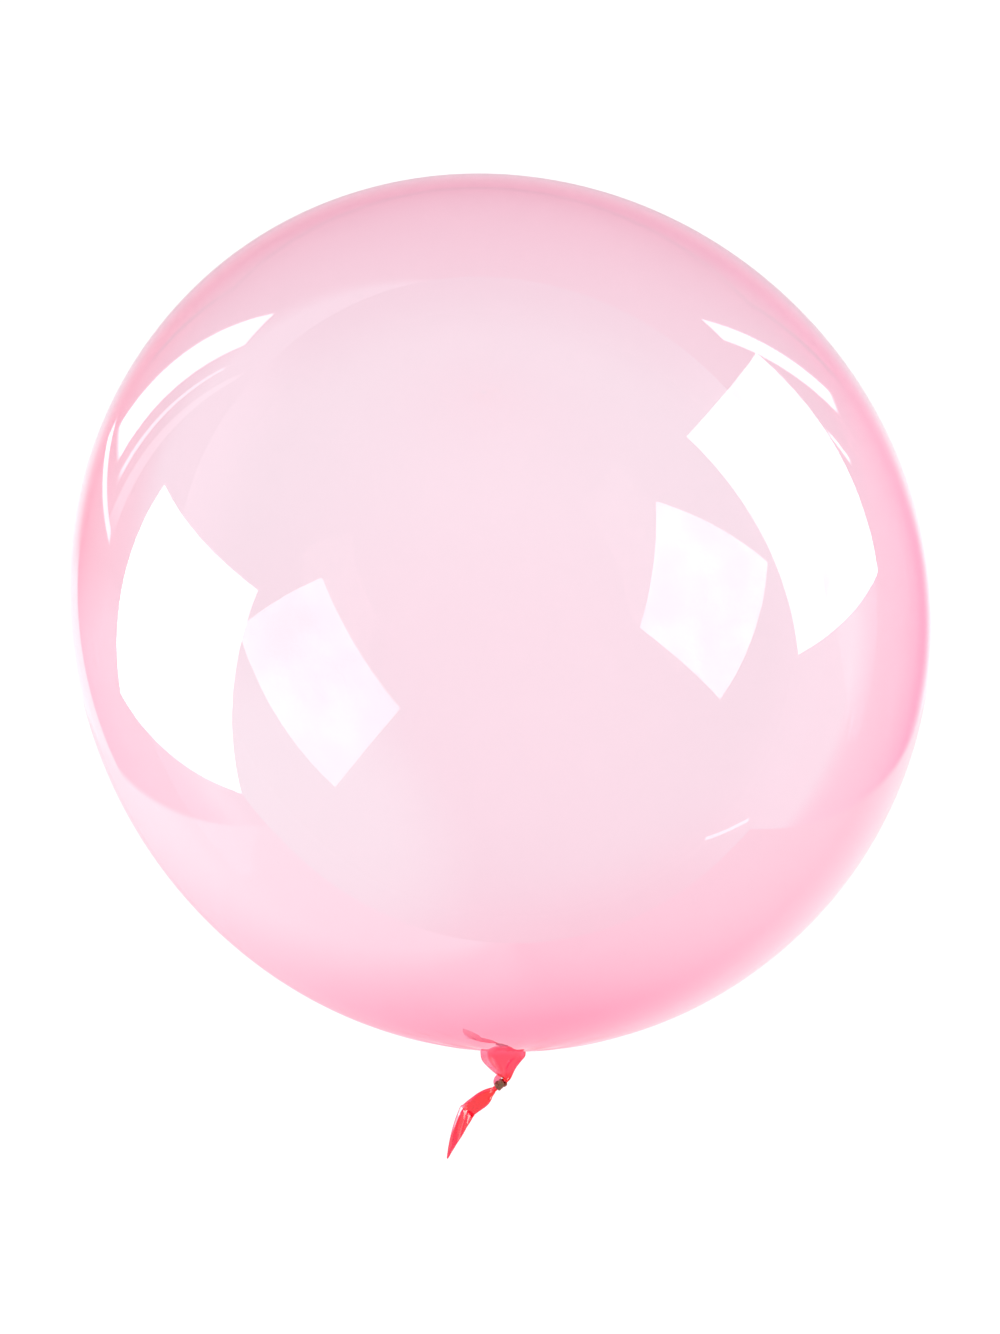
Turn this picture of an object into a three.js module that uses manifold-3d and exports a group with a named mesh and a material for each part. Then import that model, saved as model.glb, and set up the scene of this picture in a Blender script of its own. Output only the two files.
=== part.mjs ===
// A clear pink bubble balloon, lying loose on its side, in millimetres with +Z up.
// Its neck points along -Y. The origin is the middle of the small flat spot that it lies on,
// so the middle of the bubble is straight above the origin.
import * as THREE from "three";
import { mergeVertices } from "three/addons/utils/BufferGeometryUtils.js";
import Module from "manifold-3d";

// Bubble: a blown film is never quite round, so it has a longer diameter, and a fuller neck end
const bubbleDiameter = 528; // mean diameter, which the vertical one keeps
const ovalShare = 0.0216; // the long diameter's share over the mean, the short one's share under it
const ovalAngle = 124; // degrees from +X towards +Y to the long diameter
const lobeShare = 0.0037; // three low swellings, one of them near the neck
const lobeAngle = 13; // degrees from +X towards +Y to the first swelling
const restSpotDiameter = 60; // the flat spot that keeps it from rolling

// Neck: the end of the blown film tube, gathered from the bubble down to the tie
const neckWidth = 27.8; // across, along X, where it leaves the bubble
const neckDepth = 15; // up and down, along Z, where it leaves the bubble
const neckOffset = 2.2; // the neck's middle, off the middle of the bubble, along X
const neckLength = 22; // from the bubble's film to the middle of the tie
const neckInset = 10; // how far the neck's solid starts inside the bubble
const neckStraight = 0.65; // how far down it heads straight for, as a share of its length
const neckShoulder = 0.3; // how far down it keeps its width, as a share of its length
const neckShoulderSoftness = 0.12;
const neckGathered = 0.95; // how far down it has drawn in to the waist, as a share of its length
const waistDiameter = 3; // the gathered film inside the tie
const pleatCount = 7;
const pleatShare = 0.07; // depth of the gathers, as a share of the neck's half width

// Tie: a band wound round the gathered neck
const tieAngle = 48; // degrees that it leans from -Y towards -X
const tieOffset = 0.6; // its middle, off the middle of the bubble, along X
const tieLength = 7.4;
const tieTurns = 4;
const tieBandThickness = 0.9;
const tieGroove = 0.4; // depth of the grooves between its turns, as a share of the band's thickness
const tieLead = 2.85; // how far above the tie the neck turns into the tie's lean
const tieClearance = 0.3; // between the gathered film and the band

// Tail: the loose end of the film tube past the tie, folded flat and bent like a gutter
const tailLength = 55.6; // along the film, from the tie to the tip
const tailStartAngle = 53; // degrees that it leans from -Y towards -X as far as its knee
const tailKneeAngle = 28; // the same just past its knee
const tailTipAngle = 16; // the same at its tip
const tailKnee = 0.385; // how far down the knee is, as a share of the length
const tailKneeSoftness = 0.07; // the knee's length on either side, as a share of the tail's
const tailDroopAngle = 18; // degrees that the tip hangs
const tailRollAngle = 48; // degrees that it rolls at the knee, its -X edge downwards
const tailOpening = 0.22; // how far down it is spread to its whole width, as a share of its length
const tailTaper = 1.5; // above 1 it stays full below the knee and narrows late
const tailWidth = 8.9;
const tailTipWidth = 0.9;
const tailThickness = 1.5; // several layers of film together
const tailGutter = 1.6; // how far the folded film bends across its width

// Facets
const bubbleSegments = 72;
const bubbleRings = 38;
const sectionSides = 24;
const neckSteps = 14;
const tailSteps = 18;
const tieSegments = 28;
const tieRidgeSteps = 6;

const wasm = await Module();
wasm.setup();

const radians = THREE.MathUtils.degToRad;
const bubbleRadius = bubbleDiameter / 2;
const restSpotRadius = restSpotDiameter / 2;

// Distance from the bubble's middle to its film along a unit direction.
function filmRadius(direction) {
  const flat = Math.hypot(direction.x, direction.y);
  const angle = Math.atan2(direction.y, direction.x);
  const oval = ovalShare * Math.cos(2 * (angle - radians(ovalAngle)));
  const lobes = lobeShare * Math.cos(3 * (angle - radians(lobeAngle)));
  return bubbleRadius * (1 + oval * flat ** 2 + lobes * flat ** 3);
}

// The flat spot is where the film is restSpotRadius from the upright line through the middle.
const bubbleHeight = Math.sqrt(bubbleRadius ** 2 - restSpotRadius ** 2);
const neckRoot = filmRadius(new THREE.Vector3(0, -1, 0));
const tieMiddle = new THREE.Vector3(tieOffset, -(neckRoot + neckLength), bubbleHeight);
const leaning = (degrees) => new THREE.Vector3(-Math.sin(radians(degrees)), -Math.cos(radians(degrees)), 0);
const tieAxis = leaning(tieAngle);
const tieInnerRadius = waistDiameter / 2 + tieClearance;
// Between its top and bottom the gathered film runs straight through the band.
const straightHalf = tieLength / 2 + tieClearance;
const tieTop = tieMiddle.clone().addScaledVector(tieAxis, -straightHalf);
const tieBottom = tieMiddle.clone().addScaledVector(tieAxis, straightHalf);

// A solid for manifold-3d from a three.js geometry, with its shared points merged.
function solidOf(geometry) {
  const bare = geometry.clone();
  bare.deleteAttribute("normal");
  bare.deleteAttribute("uv");
  const merged = mergeVertices(bare, 1e-4);
  const vertProperties = new Float32Array(merged.attributes.position.array);
  const triVerts = new Uint32Array(merged.index.array);
  return new wasm.Manifold(new wasm.Mesh({ numProp: 3, vertProperties, triVerts }));
}

function geometryOf(solid) {
  const mesh = solid.getMesh();
  const geometry = new THREE.BufferGeometry();
  geometry.setAttribute("position", new THREE.BufferAttribute(mesh.vertProperties, 3));
  geometry.setIndex(new THREE.BufferAttribute(mesh.triVerts, 1));
  geometry.computeVertexNormals();
  return geometry;
}

// A closed skin over a row of rings with equally many points, from the first ring to the last.
function loft(rings) {
  const sides = rings[0].length;
  const sumOf = (ring) => ring.reduce((sum, point) => sum.add(point), new THREE.Vector3());
  const middleOf = (ring) => sumOf(ring).divideScalar(sides);
  const points = [...rings.flat(), middleOf(rings[0]), middleOf(rings.at(-1))];
  const firstMiddle = points.length - 2;
  const lastMiddle = points.length - 1;
  const lastRing = (rings.length - 1) * sides;
  const faces = [];
  for (let side = 0; side < sides; side++) {
    const next = (side + 1) % sides;
    for (let ring = 0; ring < lastRing; ring += sides) {
      faces.push(ring + side, ring + next, ring + sides + next);
      faces.push(ring + side, ring + sides + next, ring + sides + side);
    }
    faces.push(firstMiddle, next, side);
    faces.push(lastMiddle, lastRing + side, lastRing + next);
  }
  const geometry = new THREE.BufferGeometry().setFromPoints(points);
  geometry.setIndex(faces);
  return geometry;
}

// One ring round a point of the centreline. Across lies level, and up is square to both.
function ringAt(centre, along, pointAt) {
  const across = new THREE.Vector3(0, 0, 1).cross(along).normalize();
  const up = new THREE.Vector3().crossVectors(along, across);
  return Array.from({ length: sectionSides }, (_, side) => {
    const [sideways, upward] = pointAt((2 * Math.PI * side) / sectionSides);
    return centre.clone().addScaledVector(across, sideways).addScaledVector(up, upward);
  });
}

function bubbleSolid() {
  const sphere = new THREE.SphereGeometry(1, bubbleSegments, bubbleRings);
  const place = sphere.attributes.position;
  const point = new THREE.Vector3();
  for (let i = 0; i < place.count; i++) {
    point.fromBufferAttribute(place, i).normalize();
    point.multiplyScalar(filmRadius(point));
    place.setXYZ(i, point.x, point.y, point.z + bubbleHeight);
  }
  const under = new THREE.BoxGeometry(bubbleDiameter, bubbleDiameter, bubbleRadius);
  under.translate(0, 0, -bubbleRadius / 2);
  return solidOf(sphere).subtract(solidOf(under));
}

// The centreline bends from the neck's own way, straight down -Y, into the lean of the tie.
const neckLine = new THREE.CubicBezierCurve3(
  new THREE.Vector3(neckOffset, -neckRoot, bubbleHeight),
  new THREE.Vector3(neckOffset, -(neckRoot + neckLength * neckStraight), bubbleHeight),
  tieTop.clone().addScaledVector(tieAxis, -tieLead),
  tieTop,
);

// From 0 to 1 as a value runs from low to high, with a soft start and end.
const rise = THREE.MathUtils.smoothstep;
const between = THREE.MathUtils.lerp;

// The neck holds its width as far as its shoulder, then draws in evenly to the round waist.
function pastShoulder(t) {
  const past = (t - neckShoulder) / (neckGathered - neckShoulder);
  return past + Math.hypot(past, neckShoulderSoftness);
}

function neckRing(t) {
  const gathered = (pastShoulder(t) - pastShoulder(0)) / (pastShoulder(neckGathered) - pastShoulder(0));
  const drawnIn = Math.min(1, gathered);
  const halfWidth = between(neckWidth, waistDiameter, drawnIn) / 2;
  const halfDepth = between(neckDepth, waistDiameter, drawnIn) / 2;
  const pleats = pleatShare * rise(t, 0, 0.5) * (1 - rise(t, 0.8, 1));
  return ringAt(neckLine.getPointAt(t), neckLine.getTangentAt(t), (angle) => {
    const gather = 1 - pleats + pleats * Math.cos(pleatCount * angle);
    return [halfWidth * gather * Math.cos(angle), halfDepth * gather * Math.sin(angle)];
  });
}

// From 0 at the tail's knee to 1 at its tip.
function pastKnee(t) {
  return Math.max(0, t - tailKnee) / (1 - tailKnee);
}

// The way that the tail runs at a share of its length: with the tie first, and down past the knee.
function tailWay(t) {
  const bent = rise(t, tailKnee - tailKneeSoftness, tailKnee + tailKneeSoftness);
  const lean = between(between(tailStartAngle, tailKneeAngle, bent), tailTipAngle, pastKnee(t));
  const way = leaning(lean);
  const droop = radians(tailDroopAngle * rise(t, 0, 1));
  return way.multiplyScalar(Math.cos(droop)).setZ(-Math.sin(droop));
}

// The tail's centreline, walked from the tie in equal steps.
function tailPoint(step) {
  const place = tieBottom.clone();
  for (let i = 0; i < step; i++) {
    place.addScaledVector(tailWay((i + 0.5) / tailSteps), tailLength / tailSteps);
  }
  return place;
}

// Past the tie the round waist opens into a flat folded tongue, which narrows from the knee to its tip.
function tailRing(step) {
  const t = step / tailSteps;
  const opened = 1 - (1 - Math.min(1, t / tailOpening)) ** 2;
  const narrowed = pastKnee(t) ** tailTaper;
  const flatWidth = between(tailWidth, tailTipWidth, narrowed);
  const flatThickness = between(tailThickness, tailTipWidth / 2, narrowed);
  const halfWidth = between(waistDiameter, flatWidth, opened) / 2;
  const halfThickness = between(waistDiameter, flatThickness, opened) / 2;
  const gutter = (tailGutter * opened * flatWidth) / tailWidth;
  const roll = radians(tailRollAngle * rise(t, tailOpening, tailKnee + tailKneeSoftness));
  return ringAt(tailPoint(step), tailWay(t), (angle) => {
    const sideways = halfWidth * Math.cos(angle);
    const bend = gutter * (Math.cos(angle) ** 2 - 0.5);
    const thickness = (halfThickness * Math.sin(angle)) / Math.cos(roll);
    return [sideways, sideways * Math.tan(roll) + thickness + bend];
  });
}

function neckAndTailSolid() {
  const start = neckRing(0).map((point) => point.clone().add(new THREE.Vector3(0, neckInset, 0)));
  const neckRings = Array.from({ length: neckSteps + 1 }, (_, i) => neckRing(i / neckSteps));
  const tailRings = Array.from({ length: tailSteps + 1 }, (_, i) => tailRing(i));
  return solidOf(loft([start, ...neckRings, ...tailRings]));
}

// The wound band is a ring with one rounded ridge for each turn.
function tieGeometry() {
  const pitch = tieLength / tieTurns;
  const profile = [new THREE.Vector2(tieInnerRadius, -tieLength / 2)];
  for (let step = 0; step <= tieTurns * tieRidgeSteps; step++) {
    const along = (step * pitch) / tieRidgeSteps;
    const ridge = Math.abs(Math.sin((Math.PI * along) / pitch));
    const outer = tieInnerRadius + tieBandThickness * (1 - tieGroove + tieGroove * ridge);
    profile.push(new THREE.Vector2(outer, along - tieLength / 2));
  }
  profile.push(new THREE.Vector2(tieInnerRadius, tieLength / 2));
  profile.push(profile[0].clone());
  return new THREE.LatheGeometry(profile, tieSegments);
}

const filmMaterial = new THREE.MeshStandardMaterial({ color: 0xf9b4ca, roughness: 0.05, metalness: 0 });
const bandMaterial = new THREE.MeshStandardMaterial({ color: 0x5e4a38, roughness: 0.6, metalness: 0 });

const envelope = new THREE.Mesh(geometryOf(bubbleSolid().add(neckAndTailSolid())), filmMaterial);
envelope.name = "envelope";

const neckTie = new THREE.Mesh(tieGeometry(), bandMaterial);
neckTie.name = "neck_tie";
neckTie.position.copy(tieMiddle);
neckTie.quaternion.setFromUnitVectors(new THREE.Vector3(0, 1, 0), tieAxis);

const balloon = new THREE.Group();
balloon.add(envelope, neckTie);

export default balloon;
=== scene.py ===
# A clear pink bubble balloon, lying on its side and seen from straight above
import bpy
import numpy as np
from math import cos, pi, radians
from mathutils import Matrix, Vector


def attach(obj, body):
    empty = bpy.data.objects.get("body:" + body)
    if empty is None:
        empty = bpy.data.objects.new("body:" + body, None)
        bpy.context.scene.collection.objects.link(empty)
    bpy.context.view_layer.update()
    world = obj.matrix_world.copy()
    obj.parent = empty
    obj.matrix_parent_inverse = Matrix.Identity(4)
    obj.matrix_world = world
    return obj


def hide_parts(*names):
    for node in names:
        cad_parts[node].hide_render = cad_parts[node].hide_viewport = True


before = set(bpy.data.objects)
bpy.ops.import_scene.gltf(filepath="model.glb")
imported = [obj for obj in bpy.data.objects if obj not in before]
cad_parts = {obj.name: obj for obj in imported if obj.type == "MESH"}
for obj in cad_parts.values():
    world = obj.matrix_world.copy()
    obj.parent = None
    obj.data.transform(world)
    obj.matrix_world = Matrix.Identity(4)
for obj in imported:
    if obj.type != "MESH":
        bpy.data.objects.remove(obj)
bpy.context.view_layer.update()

# Sizes are in metres. The large ones are those of the solids, and the details are finer than theirs
bubble = {
    "radius": 0.264,
    "ovalShare": 0.0216,
    "ovalAngle": radians(124),
    "lobeShare": 0.0037,
    "lobeAngle": radians(13),
    "restSpotRadius": 0.030,
    "restSpotSoftness": 0.0002,
    "fullness": 0.0006,  # how much fuller the film is round the neck than the solid
    "rings": 170,  # from the crown to the neck
    "ringCrowding": 1.25,  # above 1 draws the rings together at the neck
    "fullnessEnd": (0.2, 0.7),  # angles from the neck over which the extra fullness ends
    "mouthReach": 4,  # in half neck widths, how far the neck's flatness reaches over the bubble
}
neck = {
    "width": 0.0278,
    "depth": 0.015,
    "offset": 0.0022,
    "length": 0.022,
    "straight": 0.65,
    "shoulder": 0.3,
    "shoulderSoftness": 0.12,
    "gathered": 0.97,
    "waist": 0.003,
    "rings": 48,
    "creaseDepth": 1.6,  # deepens all the creases below
    "creaseWidening": 1.4,  # how much wider they are at the tie
    "creaseGrowth": (0, 0.8),  # share of the neck's length in which they deepen
    "thinEdge": (0.62, 0.74),  # from the middle to the -X edge, where the thin strip begins
    "thinStrip": 0.42,  # how much thinner the film is there
    "thinStripEnd": (0.75, 0.95),  # share of the neck's length at which the strip ends
    "thickening": (0, 0.3),  # share of the length in which the film thickens to the unblown film's
    "bunching": 0.4,  # how much thicker the film is at the tie
    "bunchingStart": (0.7, 1),
}
tie = {
    "lean": radians(48),
    "offset": 0.0006,
    "length": 0.0074,
    "clearance": 0.0003,
    "lead": 0.00285,
    "bandRadius": 0.0022,  # from the tie's middle to the band's middle
    "bandWidth": 0.0021,
    "bandThickness": 0.0009,
}
tail = {
    "length": 0.0556,
    "startLean": radians(53),
    "kneeLean": radians(28),
    "tipLean": radians(16),
    "knee": 0.385,
    "kneeSoftness": 0.07,
    "droop": radians(18),
    "roll": radians(50),
    "crease": 0.016,  # half the share of the length in which it rolls over
    "opening": 0.22,
    "taper": 1.5,
    "width": 0.0089,
    "tipWidth": 0.0007,
    "filmGap": 0.00022,  # between the two walls of the flattened tube
    "foldGap": 0.0007,  # between the folded edge and what it lies on
    "foldShare": 0.84,  # how much of the width the fold lies over at the knee
    "gutter": 0.0006,
    "highlightStrip": 0.78,  # how much thinner the film's tint is in a strip past the knee, a painted highlight
    "highlightStripFrom": (0.3, 0.36),  # from the middle towards the -X edge, in widths
    "highlightStripTo": (0.455, 0.48),
    "highlightStripStart": (0.36, 0.42),  # shares of the tail's length
    "highlightStripEnd": (0.58, 0.78),
    "bunching": 0.2,  # how much thicker the film is at the tie
    "bunched": 0.4,  # how much of the thickness goes in the first part of the tail
    "bunchedEnd": (0, 0.3),
    "thinning": 0.25,  # how much more goes towards the tip
    "thinningReach": (0.5, 0.9),
    "foldClosing": (0.6, 0.85),  # shares of the length in which the fold comes to cover the whole width
    "rings": 84,
}
filmSides = 256  # facets round the film, from the crown to the tail's tip

middleHeight = np.sqrt(bubble["radius"] ** 2 - bubble["restSpotRadius"] ** 2)
middle = np.array([0.0, 0.0, middleHeight])
level = np.array([0.0, 0.0, 1.0])


# Creases of the gathered film: each one's angle at the neck's mouth and at the tie, its depth and width
creaseList = [
    (150, 168, 0.05, 0.10),
    (138, 150, 0.05, 0.09),
    (125, 132, 0.07, 0.10),
    (98, 104, 0.05, 0.14),
    (32, 96, 0.14, 0.17),
    (66, 60, 0.04, 0.16),
    (12, 22, 0.08, 0.12),
    (205, 196, 0.10, 0.14),
    (236, 228, 0.14, 0.16),
    (262, 258, 0.09, 0.14),
    (291, 300, 0.15, 0.17),
    (326, 335, 0.11, 0.14),
]


# From 0 to 1 with a soft start and end
def rise(value, low, high):
    share = np.clip((value - low) / (high - low), 0, 1)
    return share * share * (3 - 2 * share)


def between(first, last, share):
    return first + (last - first) * share


def unit(vector):
    return vector / np.linalg.norm(vector, axis=-1, keepdims=True)


def leaning(angle):
    return np.array([-np.sin(angle), -np.cos(angle), 0.0])


# Distance from the bubble's middle to its film
def filmRadius(way):
    flat = np.hypot(way[..., 0], way[..., 1])
    angle = np.arctan2(way[..., 1], way[..., 0])
    oval = bubble["ovalShare"] * np.cos(2 * (angle - bubble["ovalAngle"]))
    lobes = bubble["lobeShare"] * np.cos(3 * (angle - bubble["lobeAngle"]))
    return bubble["radius"] * (1 + oval * flat ** 2 + lobes * flat ** 3)


neckRoot = float(filmRadius(np.array([0.0, -1.0, 0.0])))
neckMouth = np.array([neck["offset"], -neckRoot, middleHeight])
tieMiddle = np.array([tie["offset"], -(neckRoot + neck["length"]), middleHeight])
tieAxis = leaning(tie["lean"])
straightHalf = tie["length"] / 2 + tie["clearance"]
tieTop = tieMiddle - tieAxis * straightHalf
tieBottom = tieMiddle + tieAxis * straightHalf


# A ring round a point of a centreline: across lies level, and up is square to both
def ringAt(place, along, sideways, upward):
    across = unit(np.cross(level, along))
    up = np.cross(along, across)
    return place + sideways[:, None] * across + upward[:, None] * up


loopAngle = pi + 2 * pi * np.arange(filmSides) / filmSides
rootAngle = neck["width"] / 2 / neckRoot


# A ring's angle from the neck, from a half turn at the crown to where the neck leaves the bubble
def polarAngle(step):
    share = step / bubble["rings"]
    return rootAngle + (pi - rootAngle) * (1 - share) ** bubble["ringCrowding"]


def bubbleRing(step):
    polar = polarAngle(step)
    nearNeck = 1 - rise(polar, rootAngle, bubble["mouthReach"] * rootAngle)
    flatness = between(1, neck["depth"] / neck["width"], nearNeck)
    way = np.stack(
        [
            np.sin(polar) * np.cos(loopAngle) + nearNeck * neck["offset"] / neckRoot,
            -np.cos(polar) * np.ones(filmSides),
            np.sin(polar) * np.sin(loopAngle) * flatness,
        ],
        axis=1,
    )
    way = unit(way)
    fuller = bubble["fullness"] * (1 - rise(polar, *bubble["fullnessEnd"]))
    ring = way * (filmRadius(way) + fuller)[:, None] + middle
    height = ring[:, 2]
    ring[:, 2] = (height + np.sqrt(height ** 2 + bubble["restSpotSoftness"] ** 2)) / 2
    return ring


# Places and directions at equal steps along a cubic curve
def followCurve(points, steps):
    a, b, c, d = points
    t = np.linspace(0, 1, 400)[:, None]
    line = (1 - t) ** 3 * a + 3 * t * (1 - t) ** 2 * b + 3 * t ** 2 * (1 - t) * c + t ** 3 * d
    way = (1 - t) ** 2 * (b - a) + 2 * t * (1 - t) * (c - b) + t ** 2 * (d - c)
    gone = np.concatenate([[0], np.cumsum(np.linalg.norm(np.diff(line, axis=0), axis=1))])
    at = np.linspace(0, gone[-1], steps + 1)
    places = np.stack([np.interp(at, gone, line[:, i]) for i in range(3)], axis=1)
    ways = np.stack([np.interp(at, gone, unit(way)[:, i]) for i in range(3)], axis=1)
    return places, unit(ways)


neckLine = [
    neckMouth,
    neckMouth - np.array([0.0, neck["length"] * neck["straight"], 0.0]),
    tieTop - tieAxis * tie["lead"],
    tieTop,
]
neckPlaces, neckWays = followCurve(neckLine, neck["rings"])


def pastShoulder(share):
    past = (share - neck["shoulder"]) / (neck["gathered"] - neck["shoulder"])
    return past + np.hypot(past, neck["shoulderSoftness"])


# How far the neck has drawn in, from 0 at its mouth to 1 at the tie
def drawnIn(share):
    start = pastShoulder(0)
    return min(1, (pastShoulder(share) - start) / (pastShoulder(neck["gathered"]) - start))


# How deep the film is creased at each angle of a ring
def creases(share):
    depth = np.zeros(filmSides)
    for first, last, deep, wide in creaseList:
        away = np.angle(np.exp(1j * (loopAngle - radians(between(first, last, share)))))
        width = between(wide, neck["creaseWidening"] * wide, share)
        depth += deep * np.exp(-(away / width) ** 2)
    return depth * rise(share, *neck["creaseGrowth"]) * neck["creaseDepth"]


def neckRing(step):
    share = step / neck["rings"]
    halfWidth = between(neck["width"], neck["waist"], drawnIn(share)) / 2
    halfDepth = between(neck["depth"], neck["waist"], drawnIn(share)) / 2
    gather = 1 - creases(share)
    sideways = halfWidth * gather * np.cos(loopAngle)
    upward = halfDepth * gather * np.sin(loopAngle)
    return ringAt(neckPlaces[step], neckWays[step], sideways, upward)


def pastKnee(share):
    return max(0.0, share - tail["knee"]) / (1 - tail["knee"])


def tailWay(share):
    bent = rise(share, tail["knee"] - tail["kneeSoftness"], tail["knee"] + tail["kneeSoftness"])
    kneeLean = between(tail["startLean"], tail["kneeLean"], bent)
    lean = between(kneeLean, tail["tipLean"], pastKnee(share))
    droop = tail["droop"] * rise(share, 0, 1)
    return leaning(lean) * np.cos(droop) - level * np.sin(droop)


# The tail's centreline, walked from the tie in equal steps
def tailPoint(step):
    place = tieBottom.copy()
    for i in range(step):
        place = place + tailWay((i + 0.5) / tail["rings"]) * tail["length"] / tail["rings"]
    return place


# The flattened film tube's outline, folded back over itself along its right edge
def foldedLoop(width, foldShare):
    scale = width / tail["width"]
    foldGap = tail["foldGap"] * scale
    bend = pi * foldGap / 2
    half = filmSides // 2
    run = np.linspace(0, width + bend + foldShare * width, half)
    turn = np.clip((run - width) / (foldGap / 2), 0, pi)
    x = np.where(run < width, run - width / 2, width / 2 + foldGap / 2 * np.sin(turn))
    x = np.where(run > width + bend, width / 2 - (run - width - bend), x)
    y = foldGap / 2 * (1 - np.cos(turn))
    gap = tail["filmGap"] * scale / 2
    outer = [x + np.sin(turn) * gap, y - np.cos(turn) * gap]
    inner = [x - np.sin(turn) * gap, y + np.cos(turn) * gap]
    return [np.concatenate([o, i[::-1]]) for o, i in zip(outer, inner)]


def tailRing(step):
    share = step / tail["rings"]
    opened = 1 - (1 - min(1, share / tail["opening"])) ** 2
    narrowed = pastKnee(share) ** tail["taper"]
    width = between(tail["width"], tail["tipWidth"], narrowed)
    x, y = foldedLoop(width, between(tail["foldShare"], 1, rise(share, *tail["foldClosing"])))
    y = y + tail["gutter"] * width / tail["width"] * ((2 * x / width) ** 2 - 0.5)
    gather = neck["waist"] / 2 * (1 - creases(1))
    x = between(gather * np.cos(loopAngle), x, opened)
    y = between(gather * np.sin(loopAngle), y, opened)
    roll = tail["roll"] * rise(share, tail["knee"] - tail["crease"], tail["knee"] + tail["crease"])
    return ringAt(tailPoint(step), tailWay(share), x, y + x * np.tan(roll))


film = {
    "red": 0.124,  # how much two walls of the blown film take from red, green and blue light
    "redClearing": 0.012,  # how much less red they take for each further thickness
    "green": 0.38,
    "blue": 0.258,
    "deepest": 20.0,  # thickness at the end of the colour ramp, against the blown film's 1
    "unblown": 9.6,  # thickness of the neck's and the tail's film
    "nearNeck": 6.6,  # how much thicker the blown film is where it meets the neck
    "nearNeckReach": radians(15),  # in which that falls to about a third
    "crown": 0.24,  # how much deeper the tint is round the crown than half way up
    "crownReach": (radians(122), radians(158)),  # angles from the neck
    "upper": 0.07,  # how much thinner it is half way up
    "upperReach": (radians(85), radians(110)),
    "grazing": 0.34,  # how much deeper the tint is where the film is seen edge on
    "coatIor": 1.7,
    "colourSteps": 20,
}


# The film's thickness round a ring, against 1 on the middle of the blown film
def bubbleThickness(step):
    polar = polarAngle(step)
    nearNeck = film["nearNeck"] * np.exp(-polar / film["nearNeckReach"])
    upper = film["upper"] * rise(polar, *film["upperReach"])
    crown = film["crown"] * rise(polar, *film["crownReach"])
    return np.full(filmSides, 1 + nearNeck - upper + crown)


# The neck is thinner in a strip along its -X edge, and bunched thick at the tie
def neckThickness(step):
    share = step / neck["rings"]
    strip = rise(-np.cos(loopAngle), *neck["thinEdge"]) * (1 - rise(share, *neck["thinStripEnd"]))
    atMouth = bubbleThickness(bubble["rings"])
    whole = between(atMouth, film["unblown"], rise(share, *neck["thickening"]))
    bunched = 1 + neck["bunching"] * rise(share, *neck["bunchingStart"])
    return whole * (1 - neck["thinStrip"] * strip) * bunched


# The tail is bunched thick at the tie, and its tint is thinned in a strip near the edge that the fold leaves
# bare, a painted highlight
def tailThicknessAndHighlight(step):
    share = step / tail["rings"]
    aside = -foldedLoop(tail["width"], tail["foldShare"])[0] / tail["width"]
    # painted highlight: a strip of lighter tint past the knee, near the bare edge
    strip = rise(aside, *tail["highlightStripFrom"]) * (1 - rise(aside, *tail["highlightStripTo"]))
    strip = strip * rise(share, *tail["highlightStripStart"]) * (1 - rise(share, *tail["highlightStripEnd"]))
    bunched = 1 + tail["bunching"] - tail["bunched"] * rise(share, *tail["bunchedEnd"])
    thinned = bunched - tail["thinning"] * rise(share, *tail["thinningReach"])
    return film["unblown"] * thinned * (1 - tail["highlightStrip"] * strip)


# A closed mesh over a row of rings with equally many points, its faces outwards
def skinOver(name, rings, thickness=None):
    sides = len(rings[0])
    count = len(rings)
    points = np.concatenate([*rings, [rings[0].mean(0)], [rings[-1].mean(0)]])
    side = np.arange(sides)
    following = (side + 1) % sides
    start = (np.arange(count - 1) * sides)[:, None]
    quads = [start + side, start + following, start + sides + following, start + sides + side]
    lastRing = (count - 1) * sides
    firstMiddle = np.full(sides, count * sides)
    firstCap = np.stack([firstMiddle, following, side], axis=1)
    lastCap = np.stack([firstMiddle + 1, lastRing + side, lastRing + following], axis=1)
    faces = np.stack(quads, axis=2).reshape(-1, 4).tolist() + firstCap.tolist() + lastCap.tolist()
    mesh = bpy.data.meshes.new(name)
    mesh.from_pydata(points.tolist(), [], faces)
    mesh.shade_smooth()
    if thickness is not None:
        layer = mesh.attributes.new("filmThickness", "FLOAT", "POINT")
        values = np.concatenate([*thickness, [thickness[0].mean()], [thickness[-1].mean()]])
        layer.data.foreach_set("value", values.astype(np.float32))
    piece = bpy.data.objects.new(name, mesh)
    bpy.context.scene.collection.objects.link(piece)
    return piece


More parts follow.
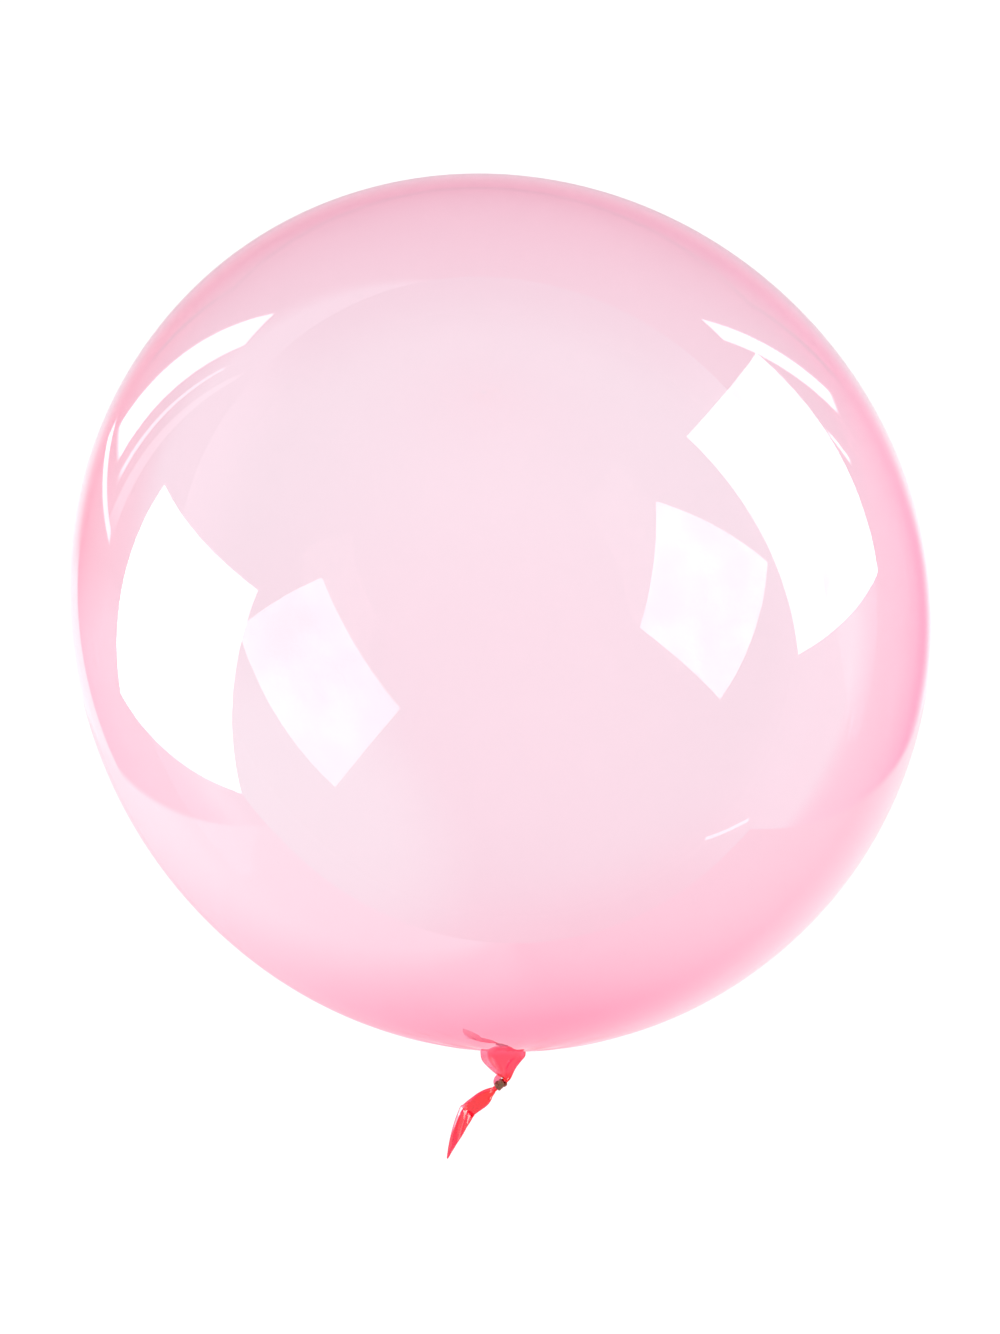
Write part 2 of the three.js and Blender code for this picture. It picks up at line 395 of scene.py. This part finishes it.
# One socket of a node tree, on which a sum adds its nodes
class Wire:
    def __init__(self, tree, socket=None):
        self.tree = tree
        self.socket = socket

    def node(self, kind, settings=None, inputs=None, out=0):
        made = self.tree.nodes.new(kind)
        for name, value in (settings or {}).items():
            if name == "stops":
                self.setStops(made.color_ramp, value)
            else:
                setattr(made, name, value)
        for name, value in (inputs or {}).items():
            if isinstance(value, Wire):
                self.tree.links.new(value.socket, made.inputs[name])
            else:
                made.inputs[name].default_value = value
        return Wire(self.tree, made.outputs[out]) if made.outputs else None

    def setStops(self, ramp, stops):
        while len(ramp.elements) < len(stops):
            ramp.elements.new(1.0)
        for element, (position, colour) in zip(ramp.elements, stops):
            element.position = position
            element.color = (*colour, 1)

    def maths(self, operation, *values):
        return self.node("ShaderNodeMath", {"operation": operation}, dict(enumerate(values)))

    def __add__(self, other):
        return self.maths("ADD", self, other)

    def __sub__(self, other):
        return self.maths("SUBTRACT", self, other)

    def __rsub__(self, other):
        return self.maths("SUBTRACT", other, self)

    def __mul__(self, other):
        return self.maths("MULTIPLY", self, other)

    def __truediv__(self, other):
        return self.maths("DIVIDE", self, other)

    def __pow__(self, other):
        return self.maths("POWER", self, other)

    def __abs__(self):
        return self.maths("ABSOLUTE", self)

    __radd__ = __add__
    __rmul__ = __mul__

    def rise(self, low, high, first=0.0, last=1.0):
        ends = {"From Min": low, "From Max": high, "To Min": first, "To Max": last}
        return self.node("ShaderNodeMapRange", {"interpolation_type": "SMOOTHSTEP"}, {"Value": self, **ends})

    # From one colour to another
    def blend(self, first, second):
        first, second = [c if isinstance(c, Wire) else (*c, 1) for c in (first, second)]
        return self.node("ShaderNodeMix", {"data_type": "RGBA"}, {0: self, 6: first, 7: second}, 2)

    def dot(self, way):
        return self.node("ShaderNodeVectorMath", {"operation": "DOT_PRODUCT"}, {0: self, 1: way}, "Value")

    def distance(self, place):
        place = tuple(float(value) for value in place)
        return self.node("ShaderNodeVectorMath", {"operation": "DISTANCE"}, {0: self, 1: place}, "Value")


def filmColour(depth):
    red = max(0, film["red"] - film["redClearing"] * depth)
    return [float(np.exp(-fade)) for fade in (red, film["green"] * depth, film["blue"] * depth)]


# Clear film: what it lets through is tinted by its thickness, and its two faces mirror the room
def makeFilm():
    material = bpy.data.materials.new("clearPinkFilm")
    material.use_nodes = True
    tree = material.node_tree
    tree.nodes.clear()
    start = Wire(tree)
    thickness = start.node("ShaderNodeAttribute", {"attribute_name": "filmThickness"}, None, "Fac")
    facing = start.node("ShaderNodeLayerWeight", None, {"Blend": 0.5}, "Facing")
    depth = thickness * (1 + film["grazing"] * facing * facing)
    places = [(i / film["colourSteps"]) ** 2 for i in range(film["colourSteps"] + 1)]
    stops = [(place, filmColour(film["deepest"] * place)) for place in places]
    colour = start.node("ShaderNodeValToRGB", {"stops": stops}, {"Fac": depth / film["deepest"]})
    surface = start.node(
        "ShaderNodeBsdfPrincipled",
        None,
        {
            "Base Color": colour,
            "Roughness": 0.0,
            "IOR": 1.0,
            "Transmission Weight": 1.0,
            "Coat Weight": 1.0,
            "Coat Roughness": 0.0,
            "Coat IOR": film["coatIor"],
        },
    )
    surface.node("ShaderNodeOutputMaterial", None, {"Surface": surface})
    return material


# A new geometry tree with one named input for each size
def makeTree(name, sizes):
    tree = bpy.data.node_groups.new(name, "GeometryNodeTree")
    tree.interface.new_socket("Geometry", in_out="INPUT", socket_type="NodeSocketGeometry")
    for size, value in sizes.items():
        kind = "NodeSocketInt" if isinstance(value, int) else "NodeSocketFloat"
        tree.interface.new_socket(size, in_out="INPUT", socket_type=kind)
    tree.interface.new_socket("Geometry", in_out="OUTPUT", socket_type="NodeSocketGeometry")
    start = Wire(tree)
    given = tree.nodes.new("NodeGroupInput")
    return start, {socket.name: Wire(tree, socket) for socket in given.outputs if socket.name}


def endTree(shape, material):
    real = shape.node("GeometryNodeRealizeInstances", None, {"Geometry": shape})
    painted = real.node("GeometryNodeSetMaterial", None, {"Geometry": real, "Material": material})
    painted.node("NodeGroupOutput", None, {"Geometry": painted})


# Runs a tree on a piece and keeps the result as a plain mesh
def growPiece(piece, tree, sizes):
    modifier = piece.modifiers.new(tree.name, "NODES")
    modifier.node_group = tree
    for item in tree.interface.items_tree:
        if item.in_out == "INPUT" and item.name in sizes:
            modifier[item.identifier] = sizes[item.name]
    evaluated = piece.evaluated_get(bpy.context.evaluated_depsgraph_get())
    grown = bpy.data.meshes.new_from_object(evaluated)
    piece.modifiers.remove(modifier)
    piece.data = grown


ripples = {
    "Ripple Height": 0.0004,  # low waves that bend the reflections a little
    "Ripple Scale": 7.0,
    "Pucker Height": 0.0005,
    "Pucker Count": 19,
    "Pucker Wander": 9.0,
    "Pucker Start": 0.012,  # distances from the neck's mouth
    "Pucker Peak": 0.02,
    "Pucker Reach": 0.085,
}
rippleEnd = (neckRoot - 0.05, neckRoot - 0.004)  # towards the neck the waves die out
groundEnd = (0.0, 0.01)  # towards the floor the waves and puckers die out


# Low waves over the whole bubble, and fine puckers that run out from the neck
def makeRipples(material):
    start, sizes = makeTree("filmRipples", ripples)
    place = start.node("GeometryNodeInputPosition")
    normal = start.node("GeometryNodeInputNormal")
    mouth = place.distance(neckMouth)
    onBubble = place.dot((0, -1, 0)).rise(*rippleEnd, 1, 0)
    scale = sizes["Ripple Scale"]
    noise = start.node("ShaderNodeTexNoise", None, {"Vector": place, "Scale": scale, "Detail": 0.0})
    waves = (noise - 0.5) * sizes["Ripple Height"] * onBubble
    sideways = place.dot((1, 0, 0)) - float(neckMouth[0])
    upward = place.dot((0, 0, 1)) - float(neckMouth[2])
    angle = upward.maths("ARCTAN2", upward, sideways)
    swing = angle * sizes["Pucker Count"] + noise * sizes["Pucker Wander"]
    pucker = swing.maths("COSINE", swing) * sizes["Pucker Height"]
    peak = sizes["Pucker Peak"]
    nearness = mouth.rise(sizes["Pucker Start"], peak) * mouth.rise(peak, sizes["Pucker Reach"], 1, 0)
    lift = (waves + pucker * nearness) * place.dot((0, 0, 1)).rise(*groundEnd)
    offset = start.node("ShaderNodeVectorMath", {"operation": "SCALE"}, {0: normal, "Scale": lift})
    moved = start.node("GeometryNodeSetPosition", None, {"Geometry": sizes["Geometry"], "Offset": offset})
    endTree(moved, material)
    return start.tree


def rideAndSlot(piece, slot, *nodes):
    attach(piece, "root")
    if nodes:
        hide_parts(*nodes)


filmMaterial = makeFilm()
lengths = [
    (bubble, bubbleRing, bubbleThickness),
    (neck, neckRing, neckThickness),
    (tail, tailRing, tailThicknessAndHighlight),
]
envelopeRings = [ringOf(i) for part, ringOf, _ in lengths for i in range(1, part["rings"] + 1)]
thicknesses = [thicknessOf(i) for part, _, thicknessOf in lengths for i in range(1, part["rings"] + 1)]
envelope = skinOver("filmEnvelope", envelopeRings, thicknesses)
growPiece(envelope, makeRipples(filmMaterial), ripples)
rideAndSlot(envelope, "film", "envelope")
print("film envelope:", len(envelope.data.polygons), "faces")


# A fold of film that stands out of the gathers and goes back under the tie
loose = {
    "path": [(0.6, -282.4), (-0.6, -284.0), (-1.4, -285.8), (-1.7, -287.5), (-1.6, -289.1), (-0.8, -290.6)],
    "lift": 0.0009,
    "width": 0.0042,
    "thickness": 0.00024,
    "tint": 5.0,  # thickness that its colour shows, against the blown film's 1
    "lean": 0.4,  # how much its face is turned out of the level
    "swelling": 0.6,  # below 1 it widens quickly from its ends
    "roundings": 30,  # times that its path is evened out
    "rings": 40,
    "sides": 24,
}


def makeLooseFold():
    given = np.array([(x / 1000, y / 1000, middleHeight + loose["lift"]) for x, y in loose["path"]])
    at = np.linspace(0, len(given) - 1, loose["rings"])
    line = np.stack([np.interp(at, np.arange(len(given)), given[:, i]) for i in range(3)], axis=1)
    for _ in range(loose["roundings"]):
        line[1:-1] = (line[:-2] + 2 * line[1:-1] + line[2:]) / 4
    ways = unit(np.gradient(line, axis=0))
    angle = 2 * pi * np.arange(loose["sides"]) / loose["sides"]
    rings = []
    for i in range(loose["rings"]):
        swell = np.sin(pi * (i + 2) / (loose["rings"] + 3)) ** loose["swelling"]
        x = loose["thickness"] / 2 * np.cos(angle)
        y = loose["width"] / 2 * swell * np.sin(angle)
        rings.append(ringAt(line[i], ways[i], y, x + y * loose["lean"]))
    return skinOver("looseFold", rings, [np.full(loose["sides"], loose["tint"])] * loose["rings"])


looseFold = makeLooseFold()
looseFold.data.materials.append(filmMaterial)
rideAndSlot(looseFold, "film")


rubber = {
    "middle": (0.2, 0.086, 0.036),
    "ends": (0.26, 0.03, 0.024),
    "flecks": (0.04, 0.02, 0.012),
    "grain": 900.0,
    "endReach": (0.0018, 0.0036),  # along the tie, from its middle
    "endWander": 0.002,
    "edgeReach": (0.0013, 0.0025),  # across the tie
    "edgeWander": 0.001,
    "edgeShare": 0.8,
    "fleckShare": 0.5,
    "fleckRange": (0.45, 0.7),  # values of the grain between which the flecks come up
    "roughness": 0.42,
    "ior": 1.5,
    "bumpStrength": 0.35,
    "bumpDepth": 0.0002,
}


# Dull olive rubber, redder towards the tie's ends and edges, with dark flecks
def makeBandMaterial():
    material = bpy.data.materials.new("oliveRubber")
    material.use_nodes = True
    material.node_tree.nodes.clear()
    start = Wire(material.node_tree)
    place = start.node("ShaderNodeTexCoord", out="Object")
    scale = rubber["grain"]
    grain = start.node("ShaderNodeTexNoise", None, {"Vector": place, "Scale": scale, "Detail": 3.0})
    square = np.array([tieAxis[1], -tieAxis[0], 0])
    along = place.dot(tuple(tieAxis)) - float(tieMiddle.dot(tieAxis))
    across = place.dot(tuple(square)) - float(tieMiddle.dot(square))
    ends = (abs(along) + (grain - 0.5) * rubber["endWander"]).rise(*rubber["endReach"])
    edges = (abs(across) + (grain - 0.5) * rubber["edgeWander"]).rise(*rubber["edgeReach"])
    redder = ends.maths("MAXIMUM", ends, edges * rubber["edgeShare"])
    colour = redder.blend(rubber["middle"], rubber["ends"])
    flecks = grain.rise(*rubber["fleckRange"]) * rubber["fleckShare"]
    colour = flecks.blend(colour, rubber["flecks"])
    rough = {"Strength": rubber["bumpStrength"], "Distance": rubber["bumpDepth"]}
    bump = start.node("ShaderNodeBump", None, {"Height": grain, **rough})
    surface = start.node(
        "ShaderNodeBsdfPrincipled",
        None,
        {"Base Color": colour, "Roughness": rubber["roughness"], "IOR": rubber["ior"], "Normal": bump},
    )
    surface.node("ShaderNodeOutputMaterial", None, {"Surface": surface})
    return material


band = {
    "Band Radius": tie["bandRadius"],
    "Band Width": tie["bandWidth"],
    "Band Thickness": tie["bandThickness"],
    "Band Length": tie["length"] - tie["bandWidth"],
    "Turns": 3.4,
    "Crossing Turns": 0.9,
    "Crossing Lift": 0.55,  # how far the crossing end stands out from the turns, in thicknesses
    "Steps": 132,
    "Rim Points": 16,
}


# A flat band that winds along the tie, and its end that crosses back over the turns
def makeBandTree(material):
    start, sizes = makeTree("woundBand", band)
    circle = {"Resolution": sizes["Rim Points"], "Radius": 0.5}
    rim = start.node("GeometryNodeCurvePrimitiveCircle", {"mode": "RADIUS"}, circle)
    across = {0: sizes["Band Thickness"], 1: sizes["Band Width"], 2: 1.0}
    scale = start.node("ShaderNodeCombineXYZ", None, across)
    flat = rim.node("GeometryNodeTransform", None, {"Geometry": rim, "Scale": scale})
    windings = []
    for turns, outwards in (("Turns", 0.0), ("Crossing Turns", sizes["Crossing Lift"])):
        radius = sizes["Band Radius"] + sizes["Band Thickness"] * outwards
        path = start.node(
            "GeometryNodeCurveSpiral",
            None,
            {
                "Resolution": sizes["Steps"],
                "Rotations": sizes[turns],
                "Start Radius": radius,
                "End Radius": radius,
                "Height": sizes["Band Length"],
            },
        )
        path = path.node("GeometryNodeSetCurveNormal", {"mode": "Z_UP"}, {"Curve": path})
        swept = {"Curve": path, "Profile Curve": flat, "Fill Caps": True}
        windings.append(path.node("GeometryNodeCurveToMesh", None, swept))
    both = start.tree.nodes.new("GeometryNodeJoinGeometry")
    for winding in reversed(windings):
        start.tree.links.new(winding.socket, both.inputs[0])
    lower = start.node("ShaderNodeCombineXYZ", None, {2: sizes["Band Length"] * -0.5})
    wound = Wire(start.tree, both.outputs[0])
    centred = wound.node("GeometryNodeTransform", None, {"Geometry": wound, "Translation": lower})
    turn = Vector((0, 0, 1)).rotation_difference(Vector(tieAxis)).to_euler()
    toTie = {"Translation": tuple(tieMiddle), "Rotation": turn}
    placed = centred.node("GeometryNodeTransform", None, {"Geometry": centred, **toTie})
    smooth = placed.node("GeometryNodeSetShadeSmooth", None, {"Geometry": placed})
    endTree(smooth, material)
    return start.tree


tieBand = bpy.data.objects.new("tieBand", bpy.data.meshes.new("tieBand"))
bpy.context.scene.collection.objects.link(tieBand)
growPiece(tieBand, makeBandTree(makeBandMaterial()), band)
rideAndSlot(tieBand, "tie_band", "neck_tie")
print("tie band:", len(tieBand.data.polygons), "faces")


# Studio: a white floor, an even white surrounding, and two softboxes close to the bubble
studio = {
    "floorSize": 12.0,
    "floorDrop": 0.0003,  # how far the floor is below the lowest film, so that the two don't touch
    "floorAlbedo": 0.2,
    "floorGlow": 0.86,
    "surroundings": 1.06,
    "cameraDistance": 2.6,
    "focalPixels": 4257,
    "pictureHeight": 1334,
    "middleBelow": 55.5,  # pixels from the bubble's middle down to the picture's
    "middleRight": 0.6,  # and from there to the right
    "sensor": 36.0,
    "clothScale": 11.0,
    "clothDim": (0.80, 0.84, 0.77),
    "clothBright": (1.18, 1.27, 1.10),
    "clothRange": (0.3, 0.7),
}

# Each softbox: its middle from the bubble's middle, its edge's direction and where it faces
softboxes = {
    "leftSoftbox": {
        "middle": (-0.474, -0.051, 0.121),
        "edge": (0.366, -0.471, 0.797),
        "facing": (0.926, 0.199, -0.308),
        "size": (0.350, 0.359),
        "radiance": 4.1,
    },
    "rightSoftbox": {
        "middle": (0.431, 0.164, 0.120),
        "edge": (-0.320, -0.390, 0.862),
        "facing": (-0.793, -0.377, -0.465),
        "size": (0.341, 0.377),
        "radiance": 3.2,
    },
}


def makeSoftbox(name, box):
    light = bpy.data.lights.new(name, "AREA")
    light.shape = "RECTANGLE"
    light.size, light.size_y = box["size"]
    light.energy = 4 * box["size"][0] * box["size"][1] * box["radiance"]
    back = -Vector(box["facing"]).normalized()
    edge = Vector(box["edge"])
    edge = (edge - back * edge.dot(back)).normalized()
    turn = Matrix([edge, back.cross(edge), back]).transposed()
    lamp = bpy.data.objects.new(name, light)
    lamp.matrix_world = Matrix.Translation(Vector(box["middle"]) + Vector(middle)) @ turn.to_4x4()
    lamp.visible_camera = False
    lamp.visible_diffuse = False
    light.use_nodes = True
    light.node_tree.nodes.clear()
    start = Wire(light.node_tree)
    place = start.node("ShaderNodeNewGeometry", out="Position")
    scale = studio["clothScale"]
    cloth = start.node("ShaderNodeTexNoise", None, {"Vector": place, "Scale": scale, "Detail": 3.0})
    tone = cloth.rise(*studio["clothRange"]).blend(studio["clothDim"], studio["clothBright"])
    glow = start.node("ShaderNodeEmission", None, {"Color": tone, "Strength": 1.0})
    glow.node("ShaderNodeOutputLight", None, {"Surface": glow})
    bpy.context.scene.collection.objects.link(lamp)


for name, box in softboxes.items():
    makeSoftbox(name, box)


# What the film mirrors below the horizon, on the floor round the balloon. It is painted light that the floor
# gives only to mirrored rays: a painted pool of light, painted pink light and shade, and painted light
# strips
mirroredFloor = {
    "leftPink": (1.2, 0.48, 0.66),
    "leftDeep": (1.1, 0.04, 0.2),
    "rightPink": (1.2, 0.03, 0.32),
    "farPink": (0.60, 0.04, 0.16),
    "pale": (1.2, 1.15, 1.2),
    "paleLeft": (0.9, 0.85, 0.9),
    "sheet": (1.24, 1.2, 1.24),
    "sheetEnd": (0.86, 0.62, 0.70),
    "border": (0.4, 0.0, 0.08),
    "nearLeft": (1.3, 1.46, 1.46),
    "nearMiddle": (1.3, 0.68, 0.80),
    "nearRight": (1.2, 0.95, 1.0),
    "nearRightEnd": (1.2, 0.22, 0.38),
    "strip": (3.6, 3.6, 3.6),
}


# 1 for what a face mirrors from outside, and 0 for what is seen straight or through the film
def mirroredOnly(start):
    glossy = start.node("ShaderNodeLightPath", out="Is Glossy Ray")
    return glossy * (1 - start.node("ShaderNodeLightPath", out="Is Transmission Ray"))


# Zones of the mirrored floor in metres: each pair is where a blend starts and where it is full
floorZones = {
    "rightSide": (-0.3, 0.3),
    "deepLeft": (-0.06, 0.09),
    "far": (0.1, 0.6),
    "paleAside": (0.9, 1.8),
    "paleBelow": (0.6, 0.2),
    "paleLeftAside": (-0.75, -1.5),
    "paleLeftAbove": (0.2, 0.6),
    "sheetHalf": 0.43,
    "sheetSharp": 0.006,
    "sheetSoftAbove": 0.15,
    "sheetSoftRight": 0.06,
    "sheetAbove": (0, 0.3),
    "sheetRight": (-0.2, 0.2),
    "sheetInset": 0.045,
    "sheetRound": (0.52, 0.34),
    "sheetBelow": (0.12, 0.02),
    "borderSlope": 1.22,
    "borderPlace": 0.51,
    "borderWidth": (0.022, 0.008),
    "borderAbove": (0.26, 0.34),
    "borderShare": 0.6,
    "nearMiddle": (-0.62, -0.14),
    "nearRight": (-0.12, 0.2),
    "nearRightEnd": (0.36, 0.7),
    "wedge": (0.235, 0.205),
    "wedgeSlope": 0.9,
    "wedgeTilt": 0.03,
}

# Painted strips of light on the mirrored floor: how bright each is, and the ramps that bound it
# A ramp is a share of x and a share of y, and the ends between which their sum rises
brightStrips = {
    "wideLeft": (
        1.0,
        [
            (1, 0.449, -0.372, -0.388), (1, 0.597, -0.482, -0.466),
            (0, 1, 0.215, 0.245), (0, 1, 1.27, 1.22),
        ],
    ),
    "thinLeft": (
        0.5,
        [
            (1, 0.717, -0.542, -0.532), (1, 0.717, -0.502, -0.512),
            (0, 1, 0.2, 0.25), (0, 1, 1.2, 1.1),
        ],
    ),
    "faintLeft": (
        0.18,
        [
            (1, 0.85, -0.68, -0.66), (1, 0.85, -0.56, -0.58),
            (0, 1, 0.1, 0.2), (0, 1, 2.6, 1.6),
        ],
    ),
    "wideRight": (
        1.0,
        [
            (1, -0.385, 0.39, 0.404), (1, -0.496, 0.43, 0.412),
            (0, 1, 0.35, 0.38), (0, 1, 1.23, 1.19),
        ],
    ),
    "thinRight": (
        1.0,
        [
            (1, -0.496, 0.592, 0.601), (1, -0.496, 0.628, 0.619),
            (0, 1, 0.34, 0.37), (0, 1, 0.5, 0.44),
        ],
    ),
    "side": (
        0.6,
        [
            (-0.244, 1, 0.2865, 0.2945), (-0.244, 1, 0.3185, 0.3105),
            (1, 0, -0.76, -0.73), (1, 0, -0.42, -0.44),
        ],
    ),
}


def stripsOn(x, y):
    glow = x * 0
    for brightness, ramps in brightStrips.values():
        strip = brightness
        for shareOfX, shareOfY, low, high in ramps:
            strip = (x * shareOfX + y * shareOfY).rise(low, high) * strip
        glow = glow + strip
    return glow


# Painted pink light and shade on both sides and far off, which stand for the balloon's tinted shadow and
# turn pale further aside
def floorSides(x, y):
    spot = mirroredFloor
    zone = floorZones
    left = y.rise(*zone["deepLeft"]).blend(spot["leftPink"], spot["leftDeep"])
    colour = x.rise(*zone["rightSide"]).blend(left, spot["rightPink"])
    colour = y.rise(*zone["far"]).blend(colour, spot["farPink"])
    colour = (abs(x).rise(*zone["paleAside"]) * y.rise(*zone["paleBelow"])).blend(colour, spot["pale"])
    paleLeft = x.rise(*zone["paleLeftAside"]) * y.rise(*zone["paleLeftAbove"])
    return paleLeft.blend(colour, spot["paleLeft"])


# A pale sheet under the bubble, with a soft edge above and to the right, and a thin darker border round it
def floorSheet(x, y, away, around):
    spot = mirroredFloor
    zone = floorZones
    above = y.rise(*zone["sheetAbove"])
    softAbove = y.rise(*zone["sheetAbove"], zone["sheetSharp"], zone["sheetSoftAbove"])
    softRight = x.rise(*zone["sheetRight"], zone["sheetSharp"], zone["sheetSoftRight"])
    softness = softAbove.maths("MAXIMUM", softAbove, softRight)
    inset = x.rise(*zone["sheetRight"], 0, zone["sheetInset"]) * (1 - above)
    edge = ((abs(x) + inset - zone["sheetHalf"]) / softness).rise(1, -1)
    reach = away.maths("MAXIMUM", away.rise(*zone["sheetRound"]), y.rise(*zone["sheetBelow"]))
    colour = (edge * reach).blend(around, above.blend(spot["sheet"], spot["sheetEnd"]))
    outwards = y.maths("MAXIMUM", y, abs(x) * zone["borderSlope"])
    border = abs(outwards - zone["borderPlace"]).rise(*zone["borderWidth"]) * y.rise(*zone["borderAbove"])
    return (border * zone["borderShare"]).blend(colour, spot["border"])


# The glow of the mirrored floor, with a wedge of painted light towards the neck, a pool of light that is
# pinker to the right
def paintedFloorLight(place):
    x = place.dot((1, 0, 0))
    y = place.dot((0, 1, 0))
    away = (x * x + y * y) ** 0.5
    spot = mirroredFloor
    zone = floorZones
    colour = floorSheet(x, y, away, floorSides(x, y))
    # painted pool of light: the wedge's colours, bright on the left and pinker to the right
    near = x.rise(*zone["nearMiddle"]).blend(spot["nearLeft"], spot["nearMiddle"])
    nearRight = away.rise(*zone["nearRightEnd"]).blend(spot["nearRight"], spot["nearRightEnd"])
    near = x.rise(*zone["nearRight"]).blend(near, nearRight)
    wedge = (y + abs(x) * zone["wedgeSlope"] - x * zone["wedgeTilt"]).rise(*zone["wedge"])
    return stripsOn(x, y).blend(wedge.blend(colour, near), spot["strip"])


def makeFloor():
    half = studio["floorSize"] / 2
    low = -studio["floorDrop"]
    corners = [(-half, -half, low), (half, -half, low), (half, half, low), (-half, half, low)]
    mesh = bpy.data.meshes.new("floor")
    mesh.from_pydata(corners, [], [(0, 1, 2, 3)])
    floor = bpy.data.objects.new("floor", mesh)
    bpy.context.scene.collection.objects.link(floor)
    material = bpy.data.materials.new("whiteFloor")
    material.use_nodes = True
    material.node_tree.nodes.clear()
    start = Wire(material.node_tree)
    place = start.node("ShaderNodeTexCoord", out="Object")
    glossy = mirroredOnly(start)
    albedo = [studio["floorAlbedo"]] * 3
    glow = [studio["floorGlow"]] * 3
    lit = glossy.blend(albedo, (0, 0, 0))
    shown = glossy.blend(glow, paintedFloorLight(place))
    surface = start.node(
        "ShaderNodeBsdfPrincipled",
        None,
        {
            "Base Color": lit,
            "Roughness": 1.0,
            "Specular IOR Level": 0.0,
            "Emission Color": shown,
            "Emission Strength": 1.0,
        },
    )
    surface.node("ShaderNodeOutputMaterial", None, {"Surface": surface})
    mesh.materials.append(material)


makeFloor()


mirroredRoom = {
    "neckLeft": (0.95, 0.95, 0.95),
    "neckRight": (0.9, 0.35, 0.4),
    "crownSide": (0.5, 0.32, 0.38),
    "flanks": (1.2, 1.2, 1.25),
    "overhead": (0.66, 0.95, 0.88),
    "glow": (1.0, 1.9, 1.7),
    "glowWay": (-0.7, -0.68, 0.2),
    "streak": (3.4, 3.4, 3.4),
    "streakWay": (0.7319, -0.6800, 0.0476),
    "streakSide": (0.4006, 0.4854, 0.7771),  # square to the way it runs
    "streakReach": radians(5.6),
    "streakWidth": 0.008,
    "streakEdge": (1.2, 0.8),  # in widths
    "streakFade": 0.0008,
    "rightSide": (-0.3, 0.3),
    "towardsCrown": (-0.2, 0.2),
    "towardsFlanks": (0.5, 0.9),
    "upwards": (-0.05, 0.4),
    "glowReach": (0.75, 0.97),
}


# What the film mirrors above the horizon: an even room, a soft glow low on the left and a thin bright streak
def makeSurroundings():
    world = bpy.data.worlds.new("studioSurroundings")
    world.use_nodes = True
    world.node_tree.nodes.clear()
    start = Wire(world.node_tree)
    way = start.node("ShaderNodeTexCoord", out="Generated")
    glossy = mirroredOnly(start)
    spot = mirroredRoom
    x = way.dot((1, 0, 0))
    y = way.dot((0, 1, 0))
    neckSide = x.rise(*spot["rightSide"]).blend(spot["neckLeft"], spot["neckRight"])
    horizon = y.rise(*spot["towardsCrown"]).blend(neckSide, spot["crownSide"])
    horizon = abs(x).rise(*spot["towardsFlanks"]).blend(horizon, spot["flanks"])
    room = way.dot((0, 0, 1)).rise(*spot["upwards"]).blend(horizon, spot["overhead"])
    room = way.dot(spot["glowWay"]).rise(*spot["glowReach"]).blend(room, spot["glow"])
    offStreak = abs(way.dot(spot["streakSide"])) / spot["streakWidth"]
    streakEnd = cos(spot["streakReach"])
    alongStreak = way.dot(spot["streakWay"]).rise(streakEnd, streakEnd + spot["streakFade"])
    room = (offStreak.rise(*spot["streakEdge"]) * alongStreak).blend(room, spot["streak"])
    even = [studio["surroundings"]] * 3
    colour = glossy.blend(even, room)
    background = start.node("ShaderNodeBackground", None, {"Color": colour, "Strength": 1.0})
    start.node("ShaderNodeOutputWorld", None, {"Surface": background})
    bpy.context.scene.world = world


makeSurroundings()

cameraData = bpy.data.cameras.new("overhead")
cameraData.sensor_width = studio["sensor"]
cameraData.lens = studio["focalPixels"] * studio["sensor"] / studio["pictureHeight"]
camera = bpy.data.objects.new("overhead", cameraData)
metresPerPixel = studio["cameraDistance"] / studio["focalPixels"]
camera.location = (
    studio["middleRight"] * metresPerPixel,
    -studio["middleBelow"] * metresPerPixel,
    middleHeight + studio["cameraDistance"],
)
bpy.context.scene.collection.objects.link(camera)
bpy.context.scene.camera = camera
bpy.context.scene.view_settings.view_transform = "Standard"
print("studio and camera are set")
